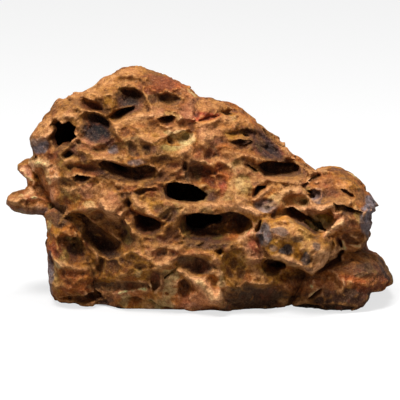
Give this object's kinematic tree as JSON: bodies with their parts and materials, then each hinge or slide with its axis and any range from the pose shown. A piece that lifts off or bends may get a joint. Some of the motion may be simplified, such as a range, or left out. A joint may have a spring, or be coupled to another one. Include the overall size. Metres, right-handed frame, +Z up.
{
  "type": "resin cave ornament",
  "caption": "Hollow pitted rock cave with a front mouth, a rear way out and small through holes, rising to a left-hand crown, with bonded outcrops and rubber foot pads.",
  "frame": {"origin": "on the tank floor under the middle of the ornament's outline", "axes": "+X to the right of the face with the cave mouths, along the longest side; -Y towards that face; +Z up"},
  "size_m": [0.299, 0.149, 0.179],
  "materials": {
    "rock_cast": "painted rough casting, tan ridges over brown hollows",
    "dark_cast": "painted rough casting, dark reddish brown",
    "tan_cast": "painted rough casting, tan",
    "brown_cast": "painted rough casting, brown",
    "ochre_cast": "painted rough casting, spotted ochre",
    "ring_cast": "unpainted filled casting resin",
    "dowel_resin": "unpainted resin",
    "pad_rubber": "matt"
  },
  "bodies": {
    "root": {"front_shell": "rock_cast", "rear_shell": "rock_cast", "right_boulder": "dark_cast", "right_shoulder": "tan_cast", "left_foot_block": "brown_cast", "left_spur": "brown_cast", "overhang_slab": "ochre_cast", "base_ring": "ring_cast", "bond_dowels": "dowel_resin", "foot_pad_front_left": "pad_rubber", "foot_pad_front_right": "pad_rubber", "foot_pad_rear_left": "pad_rubber", "foot_pad_rear_right": "pad_rubber"}
  },
  "joints": []
}
